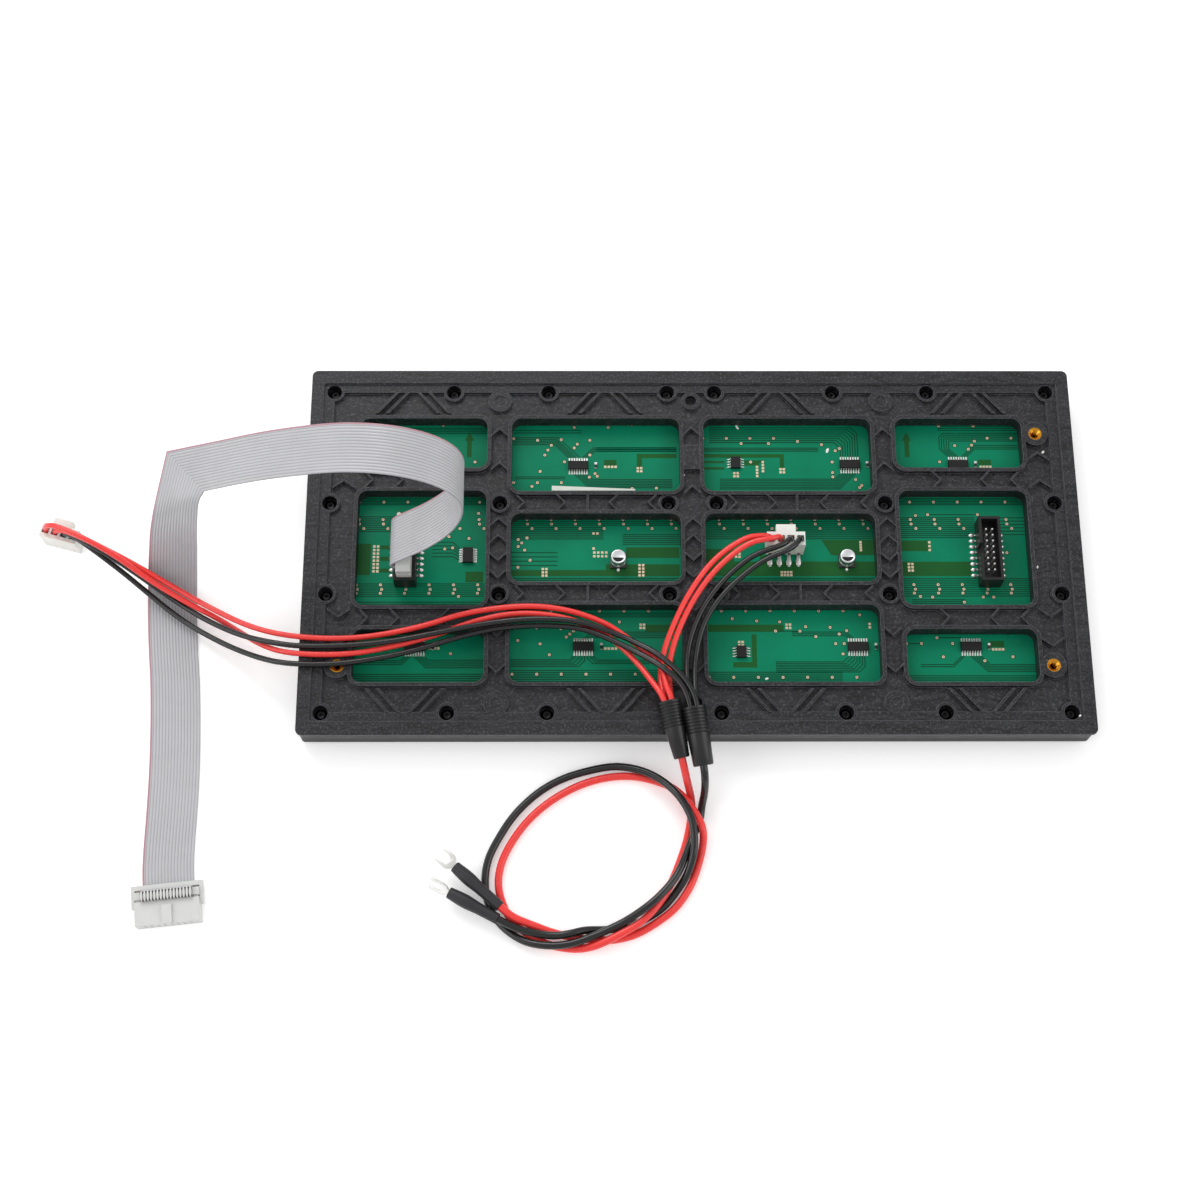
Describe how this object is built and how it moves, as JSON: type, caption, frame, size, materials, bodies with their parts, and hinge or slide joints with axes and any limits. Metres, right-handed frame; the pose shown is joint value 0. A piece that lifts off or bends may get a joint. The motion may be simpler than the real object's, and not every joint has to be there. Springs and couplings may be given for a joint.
{
  "type": "led display module",
  "caption": "Flat rectangular LED matrix tile seen from its back: windowed frame, green driver board, ribbon cable and power harness with spade ends.",
  "frame": {"origin": "floor level under the middle of the module, cords left out", "axes": "+X along the long side, +Y along the short side away from the viewer, +Z out of the back of the module"},
  "size_m": [0.4306, 0.2444, 0.0969],
  "materials": {
    "frame_plastic": "moulded, fine matt grain",
    "mask_plastic": "moulded, matt",
    "board": "glass-epoxy with green solder mask",
    "led_body": "moulded package",
    "brass": "turned, bright",
    "header_plastic": "moulded, matt",
    "contact_metal": "tin plated",
    "grey_plastic": "moulded, satin",
    "white_plastic": "moulded nylon, satin",
    "chip_resin": "moulded resin",
    "can_aluminium": "drawn, bright",
    "red_insulation": "extruded PVC, satin",
    "black_insulation": "extruded PVC, satin",
    "grey_insulation": "flat ribbon PVC, one red edge",
    "black_sleeve": "moulded and shrunk sleeve"
  },
  "bodies": {
    "root": {"back_frame": "frame_plastic", "front_mask": "mask_plastic", "circuit_board": "board", "led_packages": "led_body", "threaded_inserts": "brass", "input_header": "header_plastic", "input_header_pins": "contact_metal", "output_header": "header_plastic", "output_header_pins": "contact_metal", "ribbon_plug_body": "grey_plastic", "ribbon_plug_cap": "grey_plastic", "ribbon_socket_body": "grey_plastic", "ribbon_socket_cap": "grey_plastic", "ribbon_socket_relief": "grey_plastic", "power_header": "white_plastic", "power_header_pins": "contact_metal", "power_plug_housing": "white_plastic", "power_plug_contacts": "contact_metal", "free_plug_housing": "white_plastic", "free_plug_contacts": "contact_metal", "driver_chips": "chip_resin", "row_chips": "chip_resin", "chip_resistors": "chip_resin", "capacitor_cans": "can_aluminium", "capacitor_bases": "header_plastic", "red_splice_boot": "black_sleeve", "black_splice_boot": "black_sleeve", "red_sleeve": "black_sleeve", "black_sleeve": "black_sleeve", "red_fork_terminal": "contact_metal", "black_fork_terminal": "contact_metal", "red_wire_1": "red_insulation", "red_wire_2": "red_insulation", "red_wire_3": "red_insulation", "red_wire_4": "red_insulation", "black_wire_1": "black_insulation", "black_wire_2": "black_insulation", "black_wire_3": "black_insulation", "black_wire_4": "black_insulation", "red_lead": "red_insulation", "black_lead": "black_insulation", "ribbon_cable": "grey_insulation"}
  },
  "joints": []
}
